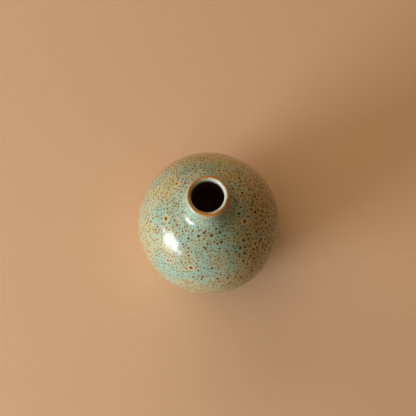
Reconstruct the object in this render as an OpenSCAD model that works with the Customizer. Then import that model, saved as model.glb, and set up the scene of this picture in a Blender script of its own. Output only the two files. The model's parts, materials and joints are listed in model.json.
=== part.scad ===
// Round stoneware bud vase: a globe with a short neck and a soft lip, under three glazes.
// Every piece is a solid of revolution about Z. The origin is on the table, under the
// middle of the foot. All sizes are in millimetres.

/* [Globe] */
// Widest diameter of the glazed globe
globe_d = 80; // [76:1:88]
// Full height of the globe as a share of its width, before the foot cuts it
globe_stretch = 1.05; // [1.02:0.01:1.1]
// Height of the widest point above the table
belly_h = 37; // [36:0.5:39]
// How far up the globe the shoulder turns into the neck, in degrees
shoulder_angle = 66; // [61:1:68]

/* [Neck and lip] */
// Height of the whole vase, to the top of the lip
vase_h = 94; // [92:1:98]
// Diameter of the neck over its glaze
neck_d = 21.8; // [21.4:0.1:22]
// Widest diameter of the rolled lip
lip_d = 22.4; // [22.2:0.1:23]
// Diameter of the open throat, from glaze to glaze
throat_d = 17; // [16.4:0.1:17.2]

/* [Foot] */
// Diameter of the trimmed foot ring
foot_d = 44; // [42:1:45]
// Width of the foot ring where it stands
foot_ring_w = 3.2; // [2.6:0.2:4]
// Depth of the hollow under the foot
foot_recess = 1.8; // [1.2:0.1:2.2]
// Size of the bevels along the foot ring's edges
foot_bevel = 0.6; // [0.3:0.1:0.8]

/* [Clay wall] */
// Thickness of the globe's clay wall
wall = 3.4; // [3:0.1:3.8]
// Thickness of the clay under the cavity
floor_t = 4.2; // [3.6:0.1:5]
// How far below the widest point the cavity's wall rounds into its floor, in degrees
floor_angle = 48; // [45:1:50]

/* [Glaze] */
// Thickness of the outer glaze
glaze_t = 0.5; // [0.4:0.05:0.6]
// Thickness of the glaze on the cavity's wall
liner_t = 0.4; // [0.3:0.05:0.5]
// Thickness of the glaze that has pooled on the cavity's floor
pool_t = 0.8; // [0.6:0.1:1]
// Height of the outer glaze's lower edge above the table
glaze_line_h = 3.6; // [3.4:0.1:5]
// Angle round the lip, from its outside, at which the thin brown glaze starts
lip_break_from = 48; // [35:1:60]
// Angle round the lip, from its outside, at which the thin brown glaze ends
lip_break_to = 118; // [105:1:135]

/* [Hidden] */
$fn = 96;

globe_steps = 28;
cavity_steps = 26;
shoulder_steps = 12;
lip_steps = 5;
edge_steps = 4;

// Half width and half height of the globe at three depths: glaze, clay outside, clay inside
globe_r = globe_d / 2;
globe_hr = globe_r * globe_stretch;
clay_out = [globe_r - glaze_t, globe_hr - glaze_t];
clay_in = clay_out - [wall, wall];
liner_in = clay_in - [liner_t, liner_t];

// The lip is a half round between the throat and the lip's widest circle
lip_roll_r = (lip_d - throat_d) / 4;
lip_h = vase_h - lip_roll_r;
clay_neck_r = neck_d / 2 - glaze_t;
clay_lip_r = lip_d / 2 - glaze_t;
clay_throat_r = throat_d / 2 + liner_t;

foot_r = foot_d / 2;
floor_h = foot_recess + floor_t;
foot_angle = -acos(foot_r / clay_out[0]);
glaze_angle = asin((glaze_line_h - belly_h) / clay_out[1]);

// An angle between two others, as a share of the way
function between(from, to, share) = from + (to - from) * share;

// Points along an arc, without the first one
function arc(centre, r, from, to, steps) =
    [for (i = [1:steps]) let (a = between(from, to, i / steps)) centre + r * [cos(a), sin(a)]];

function reversed(points) = [for (i = [len(points) - 1:-1:0]) points[i]];

// A point on a globe of the given half width and half height, and the way its surface faces
function globe_point(half, t) = [half[0] * cos(t), belly_h + half[1] * sin(t)];
function globe_facing(half, t) =
    let (v = [half[1] * cos(t), half[0] * sin(t)]) v / norm(v);

// Points along a globe between two angles
function globe_line(half, from, to, steps) =
    [for (i = [0:steps]) globe_point(half, between(from, to, i / steps))];

// The hollow curve from the shoulder up to a neck of radius r. It is the one circle that
// touches both the globe, at shoulder_angle, and the neck's upright wall.
function shoulder_line(half, r) =
    let (
        start = globe_point(half, shoulder_angle),
        facing = globe_facing(half, shoulder_angle),
        curve_r = (start[0] - r) / (1 - facing[0]),
        centre = start + curve_r * facing,
        from = 180 + atan2(facing[1], facing[0])
    )
    arc(centre, curve_r, from, 180, shoulder_steps);

// The round corner between a cavity's wall and its flat floor at height h
function floor_corner(half, h) =
    let (
        start = globe_point(half, -floor_angle),
        facing = globe_facing(half, -floor_angle),
        curve_r = (start[1] - h) / (1 + facing[1]),
        centre = start - curve_r * facing,
        from = atan2(facing[1], facing[0])
    )
    arc(centre, curve_r, from, -90, shoulder_steps);

// A stretch of the lip's half round, between an outer and an inner radius
function lip_line(outer_r, inner_r, from, to) =
    let (
        centre = [(outer_r + inner_r) / 2, lip_h],
        roll_r = (outer_r - inner_r) / 2
    )
    concat(
        [centre + roll_r * [cos(from), sin(from)]],
        arc(centre, roll_r, from, to, lip_steps)
    );

function clay_lip(from, to) = lip_line(clay_lip_r, clay_throat_r, from, to);
function glaze_lip(from, to) = lip_line(lip_d / 2, throat_d / 2, from, to);

// From the throat's top down into the cavity, to the middle of its floor
function cavity_line(half, throat_r, h) =
    concat(
        reversed(shoulder_line(half, throat_r)),
        globe_line(half, shoulder_angle, -floor_angle, cavity_steps),
        floor_corner(half, h),
        [[0, h]]
    );

// The clay's outside where the outer glaze covers it, up to the neck
function glazed_clay_line() =
    concat(
        globe_line(clay_out, glaze_angle, shoulder_angle, globe_steps),
        shoulder_line(clay_out, clay_neck_r)
    );

// The rounded lower edge of the outer glaze
function glaze_edge() =
    let (
        start = globe_point(clay_out, glaze_angle),
        out = globe_facing(clay_out, glaze_angle),
        up = [-out[1], out[0]]
    )
    [for (i = [1:edge_steps]) let (a = 90 * i / edge_steps)
        start + glaze_t * (sin(a) * out + (1 - cos(a)) * up)];

// The hollow underside, the foot ring and the trimmed foot's wall, up to the glaze
function foot_line() =
    [
        [0, foot_recess],
        [foot_r - foot_ring_w - 2 * foot_bevel, foot_recess],
        [foot_r - foot_ring_w, foot_bevel],
        [foot_r - foot_ring_w + foot_bevel, 0],
        [foot_r - foot_bevel, 0],
        [foot_r, foot_bevel],
        globe_point(clay_out, foot_angle)
    ];

// The fired clay: globe, neck, lip and foot, thrown as one piece
module stoneware_body() {
    color("#b08d6a")
        rotate_extrude()
            polygon(concat(
                foot_line(),
                glazed_clay_line(),
                clay_lip(0, lip_break_from),
                clay_lip(lip_break_from, lip_break_to),
                clay_lip(lip_break_to, 180),
                cavity_line(clay_in, clay_throat_r, floor_h)
            ));
}

// The speckled glaze on the outside, from just above the foot to the lip
module outer_glaze() {
    first_angle = between(glaze_angle, shoulder_angle, 1 / globe_steps);
    color("#94a084")
        rotate_extrude()
            polygon(concat(
                glaze_edge(),
                globe_line([globe_r, globe_hr], first_angle, shoulder_angle, globe_steps - 1),
                shoulder_line([globe_r, globe_hr], neck_d / 2),
                glaze_lip(0, lip_break_from),
                reversed(clay_lip(0, lip_break_from)),
                reversed(glazed_clay_line())
            ));
}

// The band over the top of the lip, where the glaze runs thin and breaks to brown
module lip_glaze() {
    color("#a8743c")
        rotate_extrude()
            polygon(concat(
                glaze_lip(lip_break_from, lip_break_to),
                reversed(clay_lip(lip_break_from, lip_break_to))
            ));
}

// The brown glaze that seals the throat and the cavity, pooled on the floor
module liner_glaze() {
    color("#5a3b22")
        rotate_extrude()
            polygon(concat(
                reversed(glaze_lip(lip_break_to, 180)),
                clay_lip(lip_break_to, 180),
                cavity_line(clay_in, clay_throat_r, floor_h),
                reversed(cavity_line(liner_in, throat_d / 2, floor_h + pool_t))
            ));
}

stoneware_body();
outer_glaze();
lip_glaze();
liner_glaze();
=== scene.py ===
import json
import bpy
import numpy as np
from mathutils import Matrix, Vector


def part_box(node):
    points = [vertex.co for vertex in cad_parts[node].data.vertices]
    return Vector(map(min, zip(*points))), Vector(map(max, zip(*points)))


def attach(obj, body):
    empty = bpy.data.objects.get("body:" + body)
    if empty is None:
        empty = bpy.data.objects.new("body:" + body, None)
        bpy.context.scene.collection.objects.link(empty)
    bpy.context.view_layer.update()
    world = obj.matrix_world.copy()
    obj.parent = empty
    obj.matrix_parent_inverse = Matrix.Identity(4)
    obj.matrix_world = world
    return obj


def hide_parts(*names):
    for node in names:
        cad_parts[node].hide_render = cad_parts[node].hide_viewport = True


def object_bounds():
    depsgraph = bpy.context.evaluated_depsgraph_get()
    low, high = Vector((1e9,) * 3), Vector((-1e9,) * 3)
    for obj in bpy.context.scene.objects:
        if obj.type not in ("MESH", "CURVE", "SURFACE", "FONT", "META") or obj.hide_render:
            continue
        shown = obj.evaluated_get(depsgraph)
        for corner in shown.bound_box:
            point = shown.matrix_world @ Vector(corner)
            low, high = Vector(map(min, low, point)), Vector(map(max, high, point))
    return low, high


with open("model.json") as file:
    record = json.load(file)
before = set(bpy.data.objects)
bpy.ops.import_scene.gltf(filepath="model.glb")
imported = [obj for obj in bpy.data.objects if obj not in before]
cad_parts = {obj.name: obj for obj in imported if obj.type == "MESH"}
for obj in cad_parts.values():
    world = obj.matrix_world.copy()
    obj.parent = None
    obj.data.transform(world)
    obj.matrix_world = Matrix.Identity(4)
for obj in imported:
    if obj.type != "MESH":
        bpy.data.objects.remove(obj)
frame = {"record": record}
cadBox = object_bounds()


def linearColour(hexCode):
    # sRGB hex to the linear values that the shaders want
    parts = [int(hexCode[i : i + 2], 16) / 255 for i in (1, 3, 5)]
    return [c / 12.92 if c <= 0.04045 else ((c + 0.055) / 1.055) ** 2.4 for c in parts] + [1.0]


def addNode(tree, kind, sockets=None, stops=None, **settings):
    # one node: its settings, its colour stops, then each socket, which is joined to an output, or
    # to another node's first output, or is given a value. A hex colour counts as a value.
    made = tree.nodes.new("ShaderNode" + kind)
    for name, value in settings.items():
        setattr(made, name, value)
    for at, hexCode in stops or ():
        element = made.color_ramp.elements.new(at)
        element.color = linearColour(hexCode)
    if stops:
        made.color_ramp.elements.remove(made.color_ramp.elements[-1])
        made.color_ramp.elements.remove(made.color_ramp.elements[0])
    for key, value in (sockets or {}).items():
        if isinstance(value, bpy.types.Node):
            value = value.outputs[0]
        if isinstance(value, bpy.types.NodeSocket):
            tree.links.new(value, made.inputs[key])
        else:
            made.inputs[key].default_value = linearColour(value) if isinstance(value, str) else value
    return made


# settings that many nodes share
times = {"operation": "MULTIPLY"}
plus = {"operation": "ADD"}
minus = {"operation": "SUBTRACT"}
timesPlus = {"operation": "MULTIPLY_ADD"}
dot = {"operation": "DOT_PRODUCT"}
soft = {"interpolation_type": "SMOOTHSTEP"}


def smooth(value, low, high):
    # 0 below low, 1 above high, and between them an even S: 3 t squared less 2 t cubed
    share = np.clip((value - low) / (high - low), 0, 1)
    return share * share * (3 - 2 * share)


mouth = next(m for m in frame["record"]["mounts"] if m["name"] == "mouth")
shape = {  # of the whole vase, in mm and degrees
    "globeRadius": round(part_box("outer_glaze")[1][0] * 1000, 1),
    "globeStretch": 1.05,  # height of the whole globe over its width
    "bellyHeight": 37.0,  # of the widest point
    "shoulderAngle": 66.0,  # how far up the globe the neck's hollow curve starts
    "neckRadius": 10.9,
    "lipRadius": 11.2,
    "throatRadius": mouth["dims"]["r_mm"],
    "vaseHeight": round(cadBox[1][2] * 1000, 1),
    "footRadius": 22.0,
    "footRingWidth": 3.2,
    "footRecess": 1.8,
    "footBevel": 0.6,
    "wall": 3.4,
    "floorThickness": 4.2,
    "floorAngle": 48.0,  # how far down the cavity its floor's round corner starts
    "glazeThickness": 0.5,
    "linerThickness": 0.4,
    "poolThickness": 0.8,  # of the liner on the cavity's floor
    "glazeLine": 3.6,  # height of the outer glaze's lower edge
    "lipBreakFrom": 48.0,  # round the lip, from its outside
    "lipBreakTo": 118.0,
    "columns": 400,  # steps round the vase
    "sharpAngle": 50.0,  # an edge that turns more than this isn't shaded smooth
}
glazeHalf = np.array([shape["globeRadius"], shape["globeRadius"] * shape["globeStretch"]])
clayHalf = glazeHalf - shape["glazeThickness"]
cavityHalf = clayHalf - shape["wall"]
linerHalf = cavityHalf - shape["linerThickness"]
lipRollRadius = (shape["lipRadius"] - shape["throatRadius"]) / 2
lipHeight = shape["vaseHeight"] - lipRollRadius
clayFloor = shape["footRecess"] + shape["floorThickness"]
clayNeck = shape["neckRadius"] - shape["glazeThickness"]
clayLip = shape["lipRadius"] - shape["glazeThickness"]
clayThroat = shape["throatRadius"] + shape["linerThickness"]
glazeAngle = np.degrees(np.arcsin((shape["glazeLine"] - shape["bellyHeight"]) / clayHalf[1]))
footAngle = -np.degrees(np.arccos(shape["footRadius"] / clayHalf[0]))


def arcLine(centre, radius, start, end, step):
    # points of a circle's arc, about step apart: centre + radius * (cos a, sin a)
    count = max(3, int(abs(np.radians(end - start)) * radius / step) + 2)
    turn = np.radians(np.linspace(start, end, count))
    return np.stack([centre[0] + radius * np.cos(turn), centre[1] + radius * np.sin(turn)], -1)


def globePoint(half, angle):
    # a point of the globe's ellipse: half width * cos a, belly height + half height * sin a
    turn = np.radians(angle)
    return np.stack([half[0] * np.cos(turn), shape["bellyHeight"] + half[1] * np.sin(turn)], -1)


def globeFacing(half, angle):
    # the ellipse's outward normal there: half height * cos a, half width * sin a, at unit length
    turn = np.radians(angle)
    facing = np.array([half[1] * np.cos(turn), half[0] * np.sin(turn)])
    return facing / np.hypot(*facing)


def globeLine(half, start, end, step):
    # points of the globe's ellipse from one angle to another, about step apart
    count = int(abs(np.radians(end - start)) * half[1] / step) + 2
    return globePoint(half, np.linspace(start, end, count))


def shoulderLine(half, neckRadius, step):
    # the one circle that touches both the globe, at shoulderAngle, and the neck's upright wall
    start = globePoint(half, shape["shoulderAngle"])
    facing = globeFacing(half, shape["shoulderAngle"])
    radius = (start[0] - neckRadius) / (1 - facing[0])
    turn = 180 + np.degrees(np.arctan2(facing[1], facing[0]))
    return arcLine(start + radius * facing, radius, turn, 180, step)


def floorLine(half, height, step):
    # the circle that touches both the cavity's wall, at floorAngle, and its flat floor
    start = globePoint(half, -shape["floorAngle"])
    facing = globeFacing(half, -shape["floorAngle"])
    radius = (start[1] - height) / (1 + facing[1])
    turn = np.degrees(np.arctan2(facing[1], facing[0]))
    return arcLine(start - radius * facing, radius, turn, -90, step)


def neckLine(start, endRadius, step):
    # an S from the neck's radius out to the lip's, upright at both ends
    height = np.linspace(start[1], lipHeight, int((lipHeight - start[1]) / step) + 2)
    flare = smooth(height, start[1], lipHeight)
    return np.stack([start[0] + (endRadius - start[0]) * flare, height], -1)


def lipLine(outerRadius, innerRadius, start, end, step):
    # part of the half circle that rolls over the lip from one radius to the other
    centre = ((outerRadius + innerRadius) / 2, lipHeight)
    return arcLine(centre, (outerRadius - innerRadius) / 2, start, end, step)


def joinLines(*lines):
    # end to end, leaving out each line's first point where it repeats the last one
    kept = [np.atleast_2d(lines[0])]
    for line in map(np.atleast_2d, lines[1:]):
        kept.append(line[1:] if np.allclose(line[0], kept[-1][-1], atol=1e-6) else line)
    return np.concatenate(kept)


def outsideLine(half, neckRadius, lipRadius, innerRadius, startAngle, lipEnd, step):
    # up the outside: globe, shoulder, neck, and round the lip as far as lipEnd
    shoulder = shoulderLine(half, neckRadius, step)
    return joinLines(
        globeLine(half, startAngle, shape["shoulderAngle"], step),
        shoulder,
        neckLine(shoulder[-1], lipRadius, step),
        lipLine(lipRadius, innerRadius, 0, lipEnd, step / 5),
    )


def insideLine(half, throatRadius, floorHeight, step):
    # down the throat and the cavity to the middle of its floor
    shoulder = shoulderLine(half, throatRadius, step)[::-1]
    corner = floorLine(half, floorHeight, step)
    floor = np.linspace(corner[-1], [0, floorHeight], int(corner[-1][0] / step) + 2)
    return joinLines(
        shoulder, globeLine(half, shape["shoulderAngle"], -shape["floorAngle"], step), corner, floor
    )


# iron blooms, the few large spots: turn round the vase in degrees, height and radius in mm
bloomPlaces = [
    (195, 71, 1.15), (337, 73, 1.15), (253, 62, 1.15), (324, 64, 1.1), (141, 68, 0.8),
    (75, 73, 0.9), (300, 53, 0.75), (230, 59, 0.8), (20, 57, 1.0), (100, 50, 0.9),
    (165, 44, 1.1), (212, 36, 0.9), (283, 33, 1.1), (350, 42, 0.8), (45, 36, 1.1),
    (125, 27, 0.9), (60, 64, 0.8), (320, 22, 0.9), (185, 20, 0.8), (80, 18, 0.8),
]


def globeSpot(turn, height):
    # the point on the globe's glaze at that turn and height
    angle = np.arcsin((height - shape["bellyHeight"]) / glazeHalf[1])
    radius = glazeHalf[0] * np.cos(angle)
    return np.array([radius * np.cos(np.radians(turn)), radius * np.sin(np.radians(turn)), height])


blooms = [(globeSpot(turn, height), radius) for turn, height, radius in bloomPlaces]


freckleSpread = {
    "count": 2100,  # over the whole glaze, about one in 10 square mm
    "goldenAngle": 137.508,  # degrees from each to the next
    "smallest": 0.34,  # radius in mm
    "largest": 1.0,
    "sizeCurve": (1.5, 2.4),  # of the beta curve that the sizes follow, more of them small
    "jitter": 0.3,  # how far each strays from an even spacing, as a share of it
    "clumping": 0.3,  # how much the sizes follow two slow waves that cross
    "waves": ((0.16, 0.05, 0.11), (-0.07, 0.17, 0.06)),  # their radians a mm along X, Y and Z
    "largerTowardsShade": 0.008,  # how much larger they get with each mm towards +X, the shaded side, partly painted shade
    "darkerTowardsShade": 0.012,  # and how much darker, partly the iron and partly painted shade
    "palest": 0.3,  # the least tone that is drawn, where 1 is the darkest
    "bloomGap": 2.2,  # none lies nearer to a bloom than this many of its radii
    "top": 89.0,  # mm above the table, where the lip's pale roll starts
    "seed": 14,
}


def scatterFreckles(line):
    # an even golden-angle spiral up the outline, with equal area to each, shaken by a random share
    # of the spacing: none crowds another, as each has drawn the iron out of the glaze around it
    spread = freckleSpread
    draw = np.random.default_rng(spread["seed"])
    line = line[line[:, 1] < spread["top"]]
    along = np.concatenate([[0], np.cumsum(np.hypot(*np.diff(line, axis=0).T))])
    area = 2 * np.pi * np.cumsum(line[:, 0] * np.gradient(along))
    spacing = np.sqrt(area[-1] / spread["count"])
    order = np.arange(spread["count"]) + 0.5
    place = np.interp(order / spread["count"] * area[-1], area, along)
    shake = draw.uniform(-1, 1, (2, spread["count"])) * spread["jitter"] * spacing
    place = np.clip(place + shake[0], 0, along[-1])
    radius = np.interp(place, along, line[:, 0])
    turn = np.radians(order * spread["goldenAngle"]) + shake[1] / radius
    height = np.interp(place, along, line[:, 1])
    places = np.stack([radius * np.cos(turn), radius * np.sin(turn), height], -1)
    wave = np.sin(places @ spread["waves"][0] + 1.0) * np.sin(places @ spread["waves"][1])
    share = draw.beta(*spread["sizeCurve"], len(places)) + spread["clumping"] * wave
    # towards +X, the shaded side, the freckles grow larger and darker: partly painted shade
    share = np.clip(share + spread["largerTowardsShade"] * places[:, 0], 0, 1)
    sizes = spread["smallest"] + (spread["largest"] - spread["smallest"]) * share
    tones = draw.uniform(spread["palest"], 1, len(places))
    tones = np.clip(tones + spread["darkerTowardsShade"] * places[:, 0], 0, 1)
    clear = np.ones(len(places), bool)
    for centre, bloomRadius in blooms:
        clear &= np.linalg.norm(places - centre, axis=1) > bloomRadius * spread["bloomGap"]
    return places[clear], sizes[clear], tones[clear]


def freckleField(points, line):
    # for each point of the glaze: how far inside the nearest freckle's edge it lies, in mm, with a
    # minus sign outside, and that freckle's tone. Freckles are taken a hundred at a time.
    places, sizes, tones = scatterFreckles(line)
    inside = np.full(len(points), -9.0)
    tone = np.zeros(len(points))
    for first in range(0, len(places), 100):
        group = slice(first, first + 100)
        away = np.sqrt(np.maximum(
            (points**2).sum(1)[:, None] + (places[group] ** 2).sum(1) - 2 * points @ places[group].T, 0
        ))
        depth = sizes[group] - away
        best = depth.argmax(1)
        deepest = depth[np.arange(len(points)), best]
        closer = deepest > inside
        inside[closer] = deepest[closer]
        tone[closer] = tones[group][best[closer]]
    return inside, tone


handMade = {
    "ringDepth": 0.035,  # mm, of the soft ridges that fingers leave on the wheel
    "ringPitch": 6.5,  # mm between two ridges
    "swellDepth": 0.05,  # mm, of the slow swells in the glaze's thickness
    "swellsRound": (2, 3, 5, 8, 13, 17),  # how many waves each swell has round the vase
    "swellLength": 150.0,  # mm from wave to wave up the vase, times those round it
    "fadeLow": (4.0, 10.0),  # mm above the table, over which ridges and swells come in
    "fadeHigh": (80.0, 90.0),  # and over which they go out
    "bloomRim": 0.05,  # mm that the rim of a bloom stands proud
    "bloomDish": 1.6,  # depth of its middle, as a share of that
    "leanX": -0.6,  # mm that the lip sits off the globe's middle
    "leanY": -0.1,
    "leanFrom": 66.0,  # mm above the table, where the lean starts
    "oval": 0.006,  # share by which the neck is out of round
    "ovalTurn": 0.6,  # radians that this oval is turned
    "seed": 7,
}


def relief(x, y, z):
    # how far the glaze stands proud, in mm: a spiral of finger ridges, slow swells made of a few
    # waves round and up the vase, and at each bloom a rim 1.3 radii out less a shallow dish, both
    # of them bell curves of the distance
    turn = np.arctan2(y, x)
    fade = smooth(z, *handMade["fadeLow"]) * (1 - smooth(z, *handMade["fadeHigh"]))
    proud = handMade["ringDepth"] * np.sin(2 * np.pi * z / handMade["ringPitch"] + turn) * fade
    draw = np.random.default_rng(handMade["seed"])
    for wavesRound in handMade["swellsRound"]:
        length = draw.uniform(0.8, 1.6) * handMade["swellLength"] / wavesRound
        phase = draw.uniform(0, 2 * np.pi, 2)
        swell = np.cos(wavesRound * turn + phase[0]) * np.cos(2 * np.pi * z / length + phase[1])
        proud = proud + handMade["swellDepth"] / np.sqrt(wavesRound) * swell * fade
    for centre, radius in blooms:
        away = np.sqrt((x - centre[0]) ** 2 + (y - centre[1]) ** 2 + (z - centre[2]) ** 2) / radius
        ring = np.exp(-((away - 1.3) ** 2) * 6)
        dish = handMade["bloomDish"] * np.exp(-(away**2) * 2)
        proud = proud + handMade["bloomRim"] * (ring - dish)
    return proud


def settle(x, y, z):
    # the whole pot's lean and ovality, which grow from the shoulder to the lip
    high = smooth(z, handMade["leanFrom"], shape["vaseHeight"])
    oval = 1 + handMade["oval"] * high * np.cos(2 * np.arctan2(y, x) + handMade["ovalTurn"])
    return x * oval + handMade["leanX"] * high, y * (2 - oval) + handMade["leanY"] * high, z


def turnedPiece(name, line, reliefRows=0):
    # revolves an outline about Z: radius * cos a, radius * sin a, height. It runs with the solid on
    # its left, so faces point outwards. Where its ends lie on the axis they close in a pole, and
    # otherwise its last point joins its first. The first reliefRows points are pushed along the
    # outline's normal by relief().
    poles = line[0][0] < 1e-6 and line[-1][0] < 1e-6
    rows = line[1:-1] if poles else line
    columns = shape["columns"]
    turn = np.linspace(0, 2 * np.pi, columns, endpoint=False)
    x = rows[:, :1] * np.cos(turn)
    y = rows[:, :1] * np.sin(turn)
    z = np.repeat(rows[:, 1:], columns, 1)
    if reliefRows:
        along = np.gradient(line[:reliefRows], axis=0)
        facing = np.stack([along[:, 1], -along[:, 0]], -1)
        facing /= np.hypot(facing[:, 0], facing[:, 1])[:, None]
        proud = relief(x[:reliefRows], y[:reliefRows], z[:reliefRows])
        x[:reliefRows] += proud * facing[:, :1] * np.cos(turn)
        y[:reliefRows] += proud * facing[:, :1] * np.sin(turn)
        z[:reliefRows] += proud * facing[:, 1:]
    x, y, z = settle(x, y, z)
    points = np.stack([x, y, z], -1).reshape(-1, 3) / 1000
    rowIndex = np.arange(len(rows) * columns).reshape(len(rows), columns)
    low = rowIndex[:-1] if poles else rowIndex
    high = rowIndex[1:] if poles else np.roll(rowIndex, -1, 0)
    quads = np.stack([low, np.roll(low, -1, 1), np.roll(high, -1, 1), high], -1).reshape(-1, 4)
    corners = quads.ravel()
    sizes = np.full(len(quads), 4)
    if poles:
        ends = np.array([[0, 0, line[0][1]], [0, 0, line[-1][1]]]) / 1000
        first = len(points)
        points = np.concatenate([points, ends])
        around = rowIndex[0]
        bottom = np.stack([np.roll(around, -1), around, np.full(columns, first)], -1)
        around = rowIndex[-1]
        top = np.stack([around, np.roll(around, -1), np.full(columns, first + 1)], -1)
        corners = np.concatenate([corners, bottom.ravel(), top.ravel()])
        sizes = np.concatenate([sizes, np.full(2 * columns, 3)])
    mesh = bpy.data.meshes.new(name)
    mesh.vertices.add(len(points))
    mesh.vertices.foreach_set("co", points.ravel())
    mesh.loops.add(len(corners))
    mesh.loops.foreach_set("vertex_index", corners)
    mesh.polygons.add(len(sizes))
    mesh.polygons.foreach_set("loop_start", np.concatenate([[0], np.cumsum(sizes)[:-1]]))
    mesh.polygons.foreach_set("use_smooth", np.ones(len(sizes), bool))
    mesh.update(calc_edges=True)
    mesh.validate()
    mesh.set_sharp_from_angle(angle=np.radians(shape["sharpAngle"]))
    piece = bpy.data.objects.new(name, mesh)
    bpy.context.scene.collection.objects.link(piece)
    return piece


outerGlazeMesh = {
    "step": 0.62,  # mm between two points of the outline
    "hiddenStep": 3.1,  # the same on the side that lies on the clay
    "beadPoints": 6,  # round the quarter circle of its lower edge
    "beadTurn": 1.2,  # degrees of the globe from the glaze line to the end of that bead
}


def makeOuterGlaze():
    # the glaze's outline, from the rounded lower edge up to the lip, and back down the clay's
    detail = outerGlazeMesh
    start = globePoint(clayHalf, glazeAngle)
    out = globeFacing(clayHalf, glazeAngle)
    up = np.array([-out[1], out[0]])
    bead = np.radians(np.linspace(0, 90, detail["beadPoints"]))[:, None]
    edge = start + shape["glazeThickness"] * (np.sin(bead) * out + (1 - np.cos(bead)) * up)
    above = outsideLine(
        glazeHalf, shape["neckRadius"], shape["lipRadius"], shape["throatRadius"],
        glazeAngle + detail["beadTurn"], shape["lipBreakFrom"], detail["step"],
    )
    hidden = outsideLine(
        clayHalf, clayNeck, clayLip, clayThroat, glazeAngle, shape["lipBreakFrom"], detail["hiddenStep"]
    )[::-1]
    outside = joinLines(edge[1:], above)
    piece = turnedPiece("outerGlaze", joinLines(outside, hidden), len(outside))
    points = np.empty(len(piece.data.vertices) * 3)
    piece.data.vertices.foreach_get("co", points)
    inside, tone = freckleField(points.reshape(-1, 3) * 1000, above)
    for name, values in (("freckleDepth", inside), ("freckleTone", tone)):
        piece.data.attributes.new(name, "FLOAT", "POINT").data.foreach_set("value", values)
    return piece


lipGlazeMesh = {
    "step": 0.08,  # mm between two points of the outline
    "hiddenStep": 0.3,
}


def makeLipGlaze():
    # the stretch of the lip's half circle between lipBreakFrom and lipBreakTo, and back on the clay
    detail = lipGlazeMesh
    start, end = shape["lipBreakFrom"], shape["lipBreakTo"]
    outside = lipLine(shape["lipRadius"], shape["throatRadius"], start, end, detail["step"])
    hidden = lipLine(clayLip, clayThroat, start, end, detail["hiddenStep"])[::-1]
    return turnedPiece("lipGlaze", joinLines(outside, hidden))


linerGlazeMesh = {
    "step": 0.9,  # mm between two points of the outline
    "lipStep": 0.12,
    "hiddenStep": 2.7,
    "hiddenLipStep": 0.3,
}


def makeLinerGlaze():
    # from the middle of the floor up the cavity's clay and over the lip, and back down the liner's
    # own face, which stands off it by linerThickness, and by poolThickness on the floor
    detail = linerGlazeMesh
    start = shape["lipBreakTo"]
    claySide = joinLines(
        lipLine(clayLip, clayThroat, start, 180, detail["hiddenLipStep"]),
        insideLine(cavityHalf, clayThroat, clayFloor, detail["hiddenStep"]),
    )[::-1]
    pool = clayFloor + shape["poolThickness"]
    waterSide = joinLines(
        lipLine(shape["lipRadius"], shape["throatRadius"], start, 180, detail["lipStep"]),
        insideLine(linerHalf, shape["throatRadius"], pool, detail["step"]),
    )
    return turnedPiece("linerGlaze", joinLines(claySide, waterSide))


stonewareMesh = {  # coarser than the glazes, as they hide all of it but the foot
    "step": 1.6,  # mm between two points of the outline
    "insideStep": 3.2,
    "lipStep": 0.2,
    "bevelStep": 0.16,
    "recessStep": 0.15,
    "recessRadius": 0.9,  # mm, of the round where the hollow underside meets the foot ring
    "trimDepth": 0.06,  # mm, of the rings that trimming leaves on the underside
    "trimWave": 22.0,  # radians of their wave from the middle to the foot ring
    "trimPoints": 40,
}


def makeStonewareBody():
    # from the middle of the underside out over the foot ring, up the globe and the neck, over the
    # lip, and down the throat and the cavity to the middle of its floor
    detail = stonewareMesh
    ring, bevel, recess = shape["footRingWidth"], shape["footBevel"], shape["footRecess"]
    foot = shape["footRadius"]
    hollow = foot - ring - 2 * bevel
    across = np.linspace(0, hollow, detail["trimPoints"])
    wave = np.sin(np.linspace(0, detail["trimWave"], detail["trimPoints"]))
    underside = np.stack([across, recess + detail["trimDepth"] * wave], -1)
    corner = (hollow + 0.1, recess - detail["recessRadius"])
    footLine = joinLines(
        underside,
        arcLine(corner, detail["recessRadius"], 88, 20, detail["recessStep"]),
        arcLine((foot - ring + bevel, bevel), bevel, 180, 270, detail["bevelStep"]),
        np.linspace([foot - ring + bevel, 0], [foot - bevel, 0], 6),
        arcLine((foot - bevel, bevel), bevel, -90, 0, detail["bevelStep"]),
        globeLine(clayHalf, footAngle, shape["shoulderAngle"], detail["step"]),
    )
    shoulder = shoulderLine(clayHalf, clayNeck, detail["step"])
    upAndOver = joinLines(
        footLine,
        shoulder,
        neckLine(shoulder[-1], clayLip, detail["step"]),
        lipLine(clayLip, clayThroat, 0, 180, detail["lipStep"]),
        insideLine(cavityHalf, clayThroat, clayFloor, detail["insideStep"]),
    )
    return turnedPiece("stonewareBody", upAndOver)


def startMaterial(name):
    # an empty node tree, and Object coordinates scaled to millimetres
    material = bpy.data.materials.new(name)
    material.use_nodes = True
    tree = material.node_tree
    tree.nodes.clear()
    place = addNode(tree, "TexCoord").outputs["Object"]
    return material, tree, addNode(tree, "VectorMath", {0: place, "Scale": 1000.0}, operation="SCALE")


def finishMaterial(tree, sockets, height=None):
    # the one shader and the output. The bump's height is in mm.
    if height is not None:
        sockets["Normal"] = addNode(tree, "Bump", {"Height": height, "Distance": 0.001})
    shader = addNode(tree, "BsdfPrincipled", sockets)
    addNode(tree, "OutputMaterial", {"Surface": shader})


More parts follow.
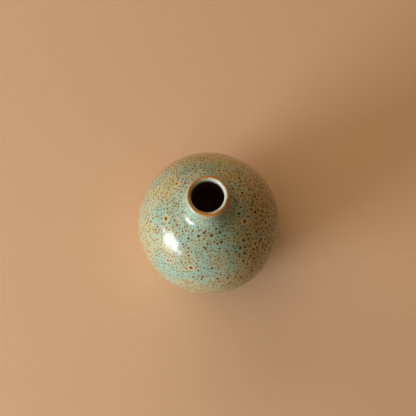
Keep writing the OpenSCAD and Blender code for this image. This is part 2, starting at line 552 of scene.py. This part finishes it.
def spots(tree, place, cell, smallest, largest):
    # round spots scattered one to a cell, which the surface cuts at any depth, so that they come in
    # all sizes: how far inside a spot's edge each point lies, in mm, and the spot's own random value
    scatter = speckledGlaze["scatter"]
    cells = addNode(tree, "TexVoronoi", {"Vector": place, "Scale": 1 / cell, "Randomness": scatter})
    chance = addNode(tree, "SeparateColor", {0: cells.outputs["Color"]})
    away = addNode(tree, "Math", {0: cells, 1: cell}, **times)
    size = addNode(tree, "MapRange", {0: chance, 3: smallest, 4: largest})
    return addNode(tree, "Math", {0: size, 1: away}, **minus), chance.outputs[1]


speckledGlaze = {
    "sage": "#AEB48C",  # where the glaze is thick
    "olive": "#C1B585",
    "khaki": "#C6A878",  # where it is thin over the clay
    "neck": "#B5A57E",
    "neckFrom": 84.0,  # mm above the table, over which that comes in
    "neckTo": 89.0,
    "thick": "#84A08A",  # rolled up at its lower edge
    "thickFrom": 9.0,  # mm above the table, over which that comes in
    "thickTo": 4.5,
    "halo": "#88CCC6",  # round each freckle the iron has been drawn out
    "haloReach": 0.72,  # mm out from the freckle's edge, where it starts, and where it is full
    "haloFull": 0.22,
    "paleNet": "#C4BF94",  # the thin lines between the fine freckles
    "tinyFreckle": "#8A6A3C",
    "fineFreckle": "#8A581E",
    "darkFreckle": "#553210",  # where the glaze is thin, more iron comes through; thin leans to the shaded +X and +Y side, partly painted shade
    "freckleRim": "#B2701E",
    "freckleCore": "#4C2806",
    "bloomHalo": "#C9D6BE",
    "bloomRing": "#C8802C",
    "bloomCore": "#4A2006",
    "cloudSize": 26.0,  # mm, of the slow changes of thickness
    "grainSize": 1.1,
    "thinAndShadedSide": (0.0028, 0.0055, -0.003),  # how much thinner with each mm along X, Y and Z; thinner and browner towards +X and +Y, the shaded side, partly painted shade
    "patchSize": 14.3,  # mm, of the patches where the halos are strong
    "haloTowardsLight": (-0.0045, -0.0025, 0.0),  # how much stronger with each mm along X and Y: towards the light, partly painted light
    "haloRise": 0.011,  # and with each mm of height above haloFrom
    "haloFrom": 50.0,
    "raggedSize": 0.909,  # mm, of the small unevenness that shakes every edge
    "shake": 0.5,  # mm that it moves the fine freckles and the blooms
    "wander": 0.15,  # mm that it moves the edges of the others
    "tinyCell": 0.95,  # mm between the tiniest freckles, then their largest radius
    "tinyRadius": 0.3,
    "fineCell": 1.6,  # mm between the fine freckles, then their radii
    "fineSmallest": 0.55,
    "fineLargest": 0.9,
    "netWidth": 0.32,  # mm, of half a line of the pale net between them, then its strength
    "netShare": 0.7,
    "scatter": 0.8,  # how far the fine freckles stray from an even grid
    "swellSize": 6.0,  # mm, and the height of the orange-peel swell in mm
    "swellHeight": 0.11,
    "pitDepth": 0.02,  # mm, of a freckle
    "glossRoughness": 0.15,
    "pitRoughness": 0.28,
}


def thicknessColour(tree, place, height):
    # the glaze's ground colour by its thickness: slow clouds with a fine grain, thinner low down and
    # on the side that the pot was tilted from when it was dipped. That side, +X and +Y, is also the
    # shaded side, so its browner ground is partly painted shade. Also how far up the neck a point
    # is, from 0 to 1, and how thin the glaze is there.
    look = speckledGlaze
    cloud = addNode(tree, "TexNoise", {"Vector": place, "Scale": 1 / look["cloudSize"], "Detail": 3.0})
    grain = addNode(tree, "TexNoise", {
        "Vector": place, "Scale": 1 / look["grainSize"], "Detail": 3.0, "Roughness": 0.65})
    # painted shade: the ground thins and browns towards +X and +Y, the shaded side
    tippedAndShaded = addNode(tree, "VectorMath", {0: place, 1: look["thinAndShadedSide"]}, **dot).outputs["Value"]
    thin = addNode(tree, "Math", {0: grain, 1: 0.7, 2: cloud}, **timesPlus)
    thin = addNode(tree, "Math", {0: thin, 1: tippedAndShaded}, **plus)
    ground = addNode(tree, "ValToRGB", {0: thin}, stops=[
        (0.0, look["sage"]), (0.56, look["sage"]), (0.68, look["olive"]), (0.8, look["khaki"])])
    onNeck = addNode(tree, "MapRange", {0: height, 1: look["neckFrom"], 2: look["neckTo"]}, **soft)
    ground = addNode(tree, "MixRGB", {0: onNeck, 1: ground, 2: look["neck"]})
    atEdge = addNode(tree, "MapRange", {
        0: height, 1: look["thickFrom"], 2: look["thickTo"], 4: 0.8}, **soft)
    return addNode(tree, "MixRGB", {0: atEdge, 1: ground, 2: look["thick"]}), onNeck, thin


def haloStrength(tree, place, height):
    # how strong the turquoise is, from 0 to 1: in slow patches, more of it towards the shoulder, and
    # more towards -X and -Y, the lit side, which is partly painted light and shade
    look = speckledGlaze
    patchy = addNode(tree, "TexNoise", {"Vector": place, "Scale": 1 / look["patchSize"], "Detail": 1.0})
    # painted light: the turquoise strengthens towards the lit side and fades into the shade
    side = addNode(tree, "VectorMath", {0: place, 1: look["haloTowardsLight"]}, **dot).outputs["Value"]
    patchy = addNode(tree, "Math", {0: patchy, 1: side}, **plus)
    higher = addNode(tree, "Math", {0: height, 1: look["haloFrom"]}, operation="MAXIMUM")
    patchy = addNode(tree, "Math", {0: higher, 1: look["haloRise"], 2: patchy}, **timesPlus)
    return addNode(tree, "MapRange", {0: patchy, 1: 1.12, 2: 1.44}, **soft)


def addFineFreckles(tree, place, colour, patchy, onNeck, thin, inside):
    # the fine freckles lie between the others, each at its own cell's middle, with a pale net of
    # clear glaze along the cells' edges, and the tiny ones lie over both
    look = speckledGlaze
    cells = {"Vector": place, "Scale": 1 / look["fineCell"], "Randomness": look["scatter"]}
    toEdge = addNode(tree, "TexVoronoi", cells, feature="DISTANCE_TO_EDGE")
    toEdge = addNode(tree, "Math", {0: toEdge, 1: look["fineCell"]}, **times)
    net = addNode(tree, "MapRange", {0: toEdge, 1: look["netWidth"], 2: 0.03, 4: look["netShare"]}, **soft)
    netColour = addNode(tree, "MixRGB", {0: patchy, 1: look["paleNet"], 2: look["halo"]})
    colour = addNode(tree, "MixRGB", {0: net, 1: colour, 2: netColour})
    bare = addNode(tree, "MapRange", {0: onNeck, 3: 1.0, 4: 0.3})

    tiny = spots(tree, place, look["tinyCell"], 0.5 * look["tinyRadius"], look["tinyRadius"])[0]
    tinyShare = addNode(tree, "MapRange", {0: tiny, 1: -0.08, 2: 0.1, 4: 0.35}, **soft)
    tinyShare = addNode(tree, "Math", {0: tinyShare, 1: bare}, **times)
    colour = addNode(tree, "MixRGB", {0: tinyShare, 1: colour, 2: look["tinyFreckle"]})

    fine, fineTone = spots(tree, place, look["fineCell"], look["fineSmallest"], look["fineLargest"])
    apart = addNode(tree, "Math", {0: toEdge, 1: 0.1}, **minus)
    fine = addNode(tree, "Math", {0: fine, 1: apart}, operation="MINIMUM")
    fineShare = addNode(tree, "MapRange", {0: fine, 1: -0.08, 2: 0.22}, **soft)
    strength = addNode(tree, "MapRange", {0: fineTone, 3: 0.45, 4: 1.0})
    between = addNode(tree, "MapRange", {0: inside, 1: -0.25, 2: -0.55}, **soft)
    for share in (strength, bare, between):
        fineShare = addNode(tree, "Math", {0: fineShare, 1: share}, **times)
    ironRich = addNode(tree, "MapRange", {0: thin, 1: 0.58, 2: 0.82}, **soft)
    fineColour = addNode(tree, "MixRGB", {0: ironRich, 1: look["fineFreckle"], 2: look["darkFreckle"]})
    return addNode(tree, "MixRGB", {0: fineShare, 1: colour, 2: fineColour})


def addFreckles(tree, colour, inside, tone):
    # a rust rim, and from 0.06 to 0.4 mm inside its edge a core that is darker the more iron the
    # freckle holds. Also the core's share.
    look = speckledGlaze
    rim = addNode(tree, "MapRange", {0: inside, 1: -0.14, 2: 0.1}, **soft)
    colour = addNode(tree, "MixRGB", {0: rim, 1: colour, 2: look["freckleRim"]})
    dark = addNode(tree, "MapRange", {0: tone, 3: 0.2, 4: 1.1})
    core = addNode(tree, "MapRange", {0: inside, 1: 0.06, 2: 0.4}, **soft)
    core = addNode(tree, "Math", {0: core, 1: dark}, **times)
    return addNode(tree, "MixRGB", {0: core, 1: colour, 2: look["freckleCore"]}), core


def addBlooms(tree, place, colour):
    # each bloom is a pale halo, an amber ring and a dark core, by the share of its radius that a
    # point lies from its centre, for the nearest one
    look = speckledGlaze
    nearest = 9.0
    for centre, radius in blooms:
        shaken = tuple(centre + look["shake"] / 2)  # place is shaken that far on average
        away = addNode(tree, "VectorMath", {0: place, 1: shaken}, operation="DISTANCE")
        share = addNode(tree, "Math", {0: away.outputs["Value"], 1: radius}, operation="DIVIDE")
        nearest = addNode(tree, "Math", {0: share, 1: nearest}, operation="MINIMUM")
    for far, near, most, name in (
        (2.1, 1.35, 0.85, "bloomHalo"), (1.3, 0.95, 1.0, "bloomRing"), (0.85, 0.3, 1.0, "bloomCore")
    ):
        share = addNode(tree, "MapRange", {0: nearest, 1: far, 2: near, 4: most}, **soft)
        colour = addNode(tree, "MixRGB", {0: share, 1: colour, 2: look[name]})
    return colour


lipBreak = {
    "cream": "#BABDA0",  # the glaze draws back from the edge and goes pale, then breaks to amber; its cool pale tint is partly a painted highlight
    "innerPale": "#D6E4DA",  # inside the amber ring; its bluish white is partly a painted reflection of the cool light
    "innerAmber": "#DCBC84",
    "amber": "#C49D60",
    "rust": "#BA7A42",
    "creamFrom": 91.0,  # mm above the table, over which it goes pale
    "creamTo": 92.6,
    "amberFrom": lipHeight + 0.1,  # and over which it breaks
    "amberTo": lipHeight + 0.5,
    "ringShift": 0.65,  # mm that the amber ring sits off the lip's own centre, towards +X
    "ringOuter": 11.0,  # its radii in mm
    "ringInner": 9.05,
    "wander": 0.35,  # mm that all these edges wander, and the size of that in mm
    "wanderSize": 2.22,
    "swellSize": 2.5,  # mm, and the height of the swell on top in mm
    "swellHeight": 0.05,
}


def rimColour(tree, place, colour):
    # what the glaze does at the mouth: pale round the lip's shoulders and amber over its top. The
    # distance from the lip's middle and the height say where, with a little wander.
    look = lipBreak
    ragged = addNode(tree, "TexNoise", {"Vector": place, "Scale": 1 / look["wanderSize"], "Detail": 3.0})
    wander = addNode(tree, "MapRange", {0: ragged, 3: -look["wander"], 4: look["wander"]})
    centre = (handMade["leanX"] + look["ringShift"], handMade["leanY"], 0.0)
    flat = addNode(tree, "VectorMath", {0: place, 1: (1.0, 1.0, 0.0)}, **times)
    radius = addNode(tree, "VectorMath", {0: flat, 1: centre}, operation="DISTANCE")
    radius = addNode(tree, "Math", {0: radius.outputs["Value"], 1: wander}, **plus)
    height = addNode(tree, "SeparateXYZ", {0: place}).outputs["Z"]
    height = addNode(tree, "Math", {0: height, 1: wander}, **plus)
    nearLip = addNode(tree, "MapRange", {0: height, 1: look["creamFrom"], 2: look["creamTo"]}, **soft)
    colour = addNode(tree, "MixRGB", {0: nearLip, 1: colour, 2: look["cream"]})
    onTop = addNode(tree, "MapRange", {0: height, 1: look["amberFrom"], 2: look["amberTo"]}, **soft)
    outer = addNode(tree, "MapRange", {
        0: radius, 1: look["ringOuter"] + 0.12, 2: look["ringOuter"] - 0.12}, **soft)
    inner = addNode(tree, "MapRange", {
        0: radius, 1: look["ringInner"] - 0.15, 2: look["ringInner"] + 0.15}, **soft)
    colour = addNode(tree, "MixRGB", {0: inner, 1: look["innerPale"], 2: colour})
    amber = addNode(tree, "Math", {0: outer, 1: inner}, **times)
    amber = addNode(tree, "Math", {0: amber, 1: onTop}, **times)
    across = addNode(tree, "MapRange", {0: radius, 1: look["ringInner"], 2: look["ringOuter"]})
    across = addNode(tree, "Math", {0: wander, 1: 1.6, 2: across}, **timesPlus)
    streaks = addNode(tree, "ValToRGB", {0: across}, stops=[
        (0.05, look["innerAmber"]), (0.35, look["amber"]), (0.62, look["rust"]), (0.85, look["amber"])])
    return addNode(tree, "MixRGB", {0: amber, 1: colour, 2: streaks})


def makeSpeckledGlaze():
    # Reactive celadon glaze, dipped and fired glossy over iron-flecked stoneware. It is sage where
    # it is thick and khaki where it is thin, and the iron comes through as rust freckles of three
    # sizes, the largest in turquoise halos, and as a few amber blooms.
    look = speckledGlaze
    material, tree, place = startMaterial("speckledCeladonGlaze")
    height = addNode(tree, "SeparateXYZ", {0: place}).outputs["Z"]
    colour, onNeck, thin = thicknessColour(tree, place, height)
    ragged = addNode(tree, "TexNoise", {"Vector": place, "Scale": 1 / look["raggedSize"], "Detail": 1.0})
    shake = (look["shake"], look["shake"], look["shake"])
    shaken = addNode(tree, "VectorMath", {0: ragged.outputs["Color"], 1: shake, 2: place}, **timesPlus)
    wander = addNode(tree, "MapRange", {0: ragged, 3: -look["wander"], 4: look["wander"]})

    # the largest freckles are the distance field that each point of the mesh carries, made ragged
    depth = addNode(tree, "Attribute", attribute_name="freckleDepth").outputs["Fac"]
    tone = addNode(tree, "Attribute", attribute_name="freckleTone").outputs["Fac"]
    inside = addNode(tree, "Math", {0: depth, 1: wander}, **plus)
    patchy = haloStrength(tree, place, height)
    halo = addNode(tree, "MapRange", {0: inside, 1: -look["haloReach"], 2: -look["haloFull"]}, **soft)
    haloShare = addNode(tree, "MapRange", {0: patchy, 3: 0.14, 4: 1.0})
    halo = addNode(tree, "Math", {0: halo, 1: haloShare}, **times)
    colour = addNode(tree, "MixRGB", {0: halo, 1: colour, 2: look["halo"]})
    colour = addFineFreckles(tree, shaken, colour, patchy, onNeck, thin, inside)
    colour, core = addFreckles(tree, colour, inside, tone)
    colour = addBlooms(tree, shaken, colour)
    colour = rimColour(tree, place, colour)

    # the gloss: orange-peel swell, with each freckle a shallow and slightly drier pit
    swell = addNode(tree, "TexNoise", {"Vector": place, "Scale": 1 / look["swellSize"], "Detail": 2.0})
    swell = addNode(tree, "Math", {0: swell, 1: look["swellHeight"]}, **times)
    swell = addNode(tree, "Math", {0: core, 1: -look["pitDepth"], 2: swell}, **timesPlus)
    roughness = addNode(tree, "MapRange", {0: core, 3: look["glossRoughness"], 4: look["pitRoughness"]})
    finishMaterial(tree, {"Base Color": colour, "Roughness": roughness, "IOR": 1.5}, swell)
    return material


def makeLipBreak():
    # The same glaze where it runs off the lip's edge in the kiln: thin, amber and streaky.
    look = lipBreak
    material, tree, place = startMaterial("brokenAmberGlaze")
    colour = rimColour(tree, place, look["cream"])
    swell = addNode(tree, "TexNoise", {"Vector": place, "Scale": 1 / look["swellSize"], "Detail": 1.0})
    swell = addNode(tree, "Math", {0: swell, 1: look["swellHeight"]}, **times)
    finishMaterial(tree, {"Base Color": colour, "Roughness": 0.16, "IOR": 1.5}, swell)
    return material


linerLook = {
    # the pale celadon lap: its bluish white is partly a painted reflection of the cool light
    "pale": "#C6DED8",
    "paleWarm": "#CDD0B2",
    "brown": "#8E5E34",
    "brownThin": "#A06E40",
    "overlap": "#3A2210",  # down the throat, where one glaze lies over the other, and darker still as painted shade
    "throatLapAndShadeFrom": 62.0,  # mm above the table, over which that comes in
    "overlapTo": 74.0,
    "lapHeight": 91.0,  # mm above the table at which the pale glaze gives way to the brown
    "lapSoft": 1.5,  # mm, over which it does
    "lapRagged": 3.0,  # mm that this edge wanders
    "cloudSize": 5.88,  # mm, and the height of the swell in mm
    "swellHeight": 0.1,
}


def makeLinerBrown():
    # Iron-brown liner glaze, poured in and out again: satin and honey brown in the cavity, and
    # nearly black down the throat, partly where the two glazes lie one over the other and partly as
    # painted shade. The glossy pale celadon of the outside laps over the lip into it.
    look = linerLook
    material, tree, place = startMaterial("ironBrownLiner")
    height = addNode(tree, "SeparateXYZ", {0: place}).outputs["Z"]
    cloud = addNode(tree, "TexNoise", {"Vector": place, "Scale": 1 / look["cloudSize"], "Detail": 3.0})
    pale = addNode(tree, "ValToRGB", {0: cloud}, stops=[(0.35, look["pale"]), (0.65, look["paleWarm"])])
    pale = rimColour(tree, place, pale)
    brown = addNode(tree, "ValToRGB", {0: cloud}, stops=[(0.3, look["brown"]), (0.7, look["brownThin"])])
    # painted shade: down the throat the brown goes nearly black, partly where the glazes lie doubled
    doubledAndShaded = addNode(tree, "MapRange", {0: height, 1: look["throatLapAndShadeFrom"], 2: look["overlapTo"]}, **soft)
    brown = addNode(tree, "MixRGB", {0: doubledAndShaded, 1: brown, 2: look["overlap"]})
    ragged = addNode(tree, "Math", {0: cloud, 1: look["lapRagged"], 2: height}, **timesPlus)
    lap = addNode(tree, "MapRange", {
        0: ragged, 1: look["lapHeight"], 2: look["lapHeight"] + look["lapSoft"]}, **soft)
    colour = addNode(tree, "MixRGB", {0: lap, 1: brown, 2: pale})
    swell = addNode(tree, "Math", {0: cloud, 1: look["swellHeight"]}, **times)
    roughness = addNode(tree, "MapRange", {0: lap, 3: 0.6, 4: 0.15})
    finishMaterial(tree, {"Base Color": colour, "Roughness": roughness, "IOR": 1.5}, swell)
    return material


bareClay = {
    "buff": "#B08C66",
    "shadowBuff": "#A27E59",
    "toasted": "#8E5F3A",  # flashed where it meets the glaze
    "flashFrom": 1.6,  # mm above the table, over which that comes in
    "flashTo": 3.2,
    "grit": "#5B4433",
    "gritCell": 1.1,  # mm between grits, then their radius
    "gritRadius": 0.28,
    "cloudSize": 5.88,  # mm, of the changes of colour
    "sandSize": 0.5,  # mm, of the dry surface, and its height in mm
    "sandHeight": 0.12,
    "toolRing": 1.15,  # mm between the rings that the trimming tool leaves, and their depth in mm
    "toolDepth": 0.015,
}


def makeBareClay():
    # Buff stoneware, thrown, trimmed with a loop tool and fired bare: dry, matte and gritty.
    look = bareClay
    material, tree, place = startMaterial("bareStoneware")
    height = addNode(tree, "SeparateXYZ", {0: place}).outputs["Z"]
    cloud = addNode(tree, "TexNoise", {"Vector": place, "Scale": 1 / look["cloudSize"], "Detail": 4.0})
    colour = addNode(tree, "ValToRGB", {0: cloud}, stops=[(0.3, look["shadowBuff"]), (0.7, look["buff"])])
    flash = addNode(tree, "MapRange", {0: height, 1: look["flashFrom"], 2: look["flashTo"], 4: 0.8}, **soft)
    colour = addNode(tree, "MixRGB", {0: flash, 1: colour, 2: look["toasted"]})
    inside = spots(tree, place, look["gritCell"], 0.4 * look["gritRadius"], look["gritRadius"])[0]
    grit = addNode(tree, "MapRange", {0: inside, 1: -0.05, 2: 0.08, 4: 0.7}, **soft)
    colour = addNode(tree, "MixRGB", {0: grit, 1: colour, 2: look["grit"]})
    sand = addNode(tree, "TexNoise", {
        "Vector": place, "Scale": 1 / look["sandSize"], "Detail": 3.0, "Roughness": 0.7})
    sand = addNode(tree, "Math", {0: sand, 1: look["sandHeight"]}, **times)
    flat = addNode(tree, "VectorMath", {0: place, 1: (1.0, 1.0, 0.0)}, **times)
    radius = addNode(tree, "VectorMath", {0: flat}, operation="LENGTH").outputs["Value"]
    turns = addNode(tree, "Math", {0: radius, 1: 2 * np.pi / look["toolRing"]}, **times)
    groove = addNode(tree, "Math", {0: turns}, operation="SINE")
    surface = addNode(tree, "Math", {0: groove, 1: look["toolDepth"], 2: sand}, **timesPlus)
    finishMaterial(tree, {"Base Color": colour, "Roughness": 0.85, "IOR": 1.5}, surface)
    return material


print("stage: pieces")
outerGlaze = makeOuterGlaze()
lipGlaze = makeLipGlaze()
linerGlaze = makeLinerGlaze()
stonewareBody = makeStonewareBody()

print("stage: materials")
assembly = [
    (outerGlaze, "outer_glaze", "speckled_glaze", makeSpeckledGlaze()),
    (lipGlaze, "lip_glaze", "lip_break", makeLipBreak()),
    (linerGlaze, "liner_glaze", "liner_glaze", makeLinerBrown()),
    (stonewareBody, "stoneware_body", "stoneware_clay", makeBareClay()),
]
for piece, node, slotName, material in assembly:
    piece.data.materials.append(material)
    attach(piece, "root")
    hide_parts(node)


studio = {
    "floorColour": "#EDC8A6",
    "floorSize": 6.0,  # metres
    "worldColour": "#FFE6C8",
    "worldStrength": 0.02,
    "cameraElevation": 74.6,  # degrees
    "cameraDistance": 0.5,
    "lens": 50.8,
    "sensor": 24.0,
    "aimUp": 0.00876,  # metres from the belly to what the camera looks at, up its view and left
    "aimLeft": 0.0004,
    "lightAim": 0.05,  # height in metres that the softboxes point at
}

# each softbox: turn and elevation seen from the vase, distance, width and height in metres,
# brightness and colour
softboxes = {
    "windowSoftbox": (211, 12, 1.2, 0.5, 0.44, 15.0, "#F8FBFF"),
    "windowSides": (209, 6, 1.25, 1.0, 0.15, 11.0, "#CFE6FF"),
    "roomGlow": (120, 28, 1.3, 1.4, 0.9, 1.4, "#FFE2BC"),
    "ceilingGlow": (212, 65, 1.3, 1.5, 1.5, 1.05, "#FFDFAC"),
    "warmBounce": (60, 15, 1.3, 1.2, 0.6, 0.5, "#FFCC98"),
}


def makeFloor():
    # Plain matte paper, rolled out flat: a warm sand colour with no pattern.
    half = studio["floorSize"] / 2
    mesh = bpy.data.meshes.new("paleFloor")
    corners = [(-half, -half, 0), (half, -half, 0), (half, half, 0), (-half, half, 0)]
    mesh.from_pydata(corners, [], [(0, 1, 2, 3)])
    floor = bpy.data.objects.new("paleFloor", mesh)
    bpy.context.scene.collection.objects.link(floor)
    material, tree, _ = startMaterial("palePaper")
    finishMaterial(tree, {"Base Color": studio["floorColour"], "Roughness": 0.7})
    mesh.materials.append(material)


def makeSoftbox(name):
    # a rectangle of light that far from the vase and turned towards it. Its power is brightness *
    # pi * area, so that its reflection stays as bright when its size changes.
    turn, elevation, distance, width, height, brightness, colour = softboxes[name]
    light = bpy.data.lights.new(name, "AREA")
    light.shape = "RECTANGLE"
    light.size = width
    light.size_y = height
    light.energy = brightness * np.pi * width * height
    light.color = linearColour(colour)[:3]
    lamp = bpy.data.objects.new(name, light)
    bpy.context.scene.collection.objects.link(lamp)
    turn, elevation = np.radians(turn), np.radians(elevation)
    away = (np.cos(turn) * np.cos(elevation), np.sin(turn) * np.cos(elevation), np.sin(elevation))
    aim = Vector((0, 0, studio["lightAim"]))
    lamp.location = aim + Vector(away) * distance
    lamp.rotation_euler = (aim - lamp.location).to_track_quat("-Z", "Y").to_euler()


def makeCamera():
    # looks down at the belly from in front; the vase stands a little below the view's middle
    elevation = np.radians(studio["cameraElevation"])
    right = Vector((1, 0, 0))
    up = Vector((0, np.sin(elevation), np.cos(elevation)))
    back = Vector((0, -np.cos(elevation), np.sin(elevation)))
    belly = Vector((0, 0, shape["bellyHeight"] / 1000))
    aim = belly + up * studio["aimUp"] - right * studio["aimLeft"]
    data = bpy.data.cameras.new("camera")
    data.lens = studio["lens"]
    data.sensor_width = studio["sensor"]
    camera = bpy.data.objects.new("camera", data)
    bpy.context.scene.collection.objects.link(camera)
    turn = Matrix((right, up, back)).transposed().to_4x4()
    camera.matrix_world = Matrix.Translation(aim + back * studio["cameraDistance"]) @ turn
    bpy.context.scene.camera = camera


def makeWorld():
    # a faint even glow from all round
    world = bpy.data.worlds.new("studio")
    world.use_nodes = True
    background = world.node_tree.nodes["Background"]
    background.inputs["Color"].default_value = linearColour(studio["worldColour"])
    background.inputs["Strength"].default_value = studio["worldStrength"]
    bpy.context.scene.world = world


print("stage: studio")
makeFloor()
for name in softboxes:
    makeSoftbox(name)
makeCamera()
makeWorld()
bpy.context.scene.view_settings.view_transform = "Standard"
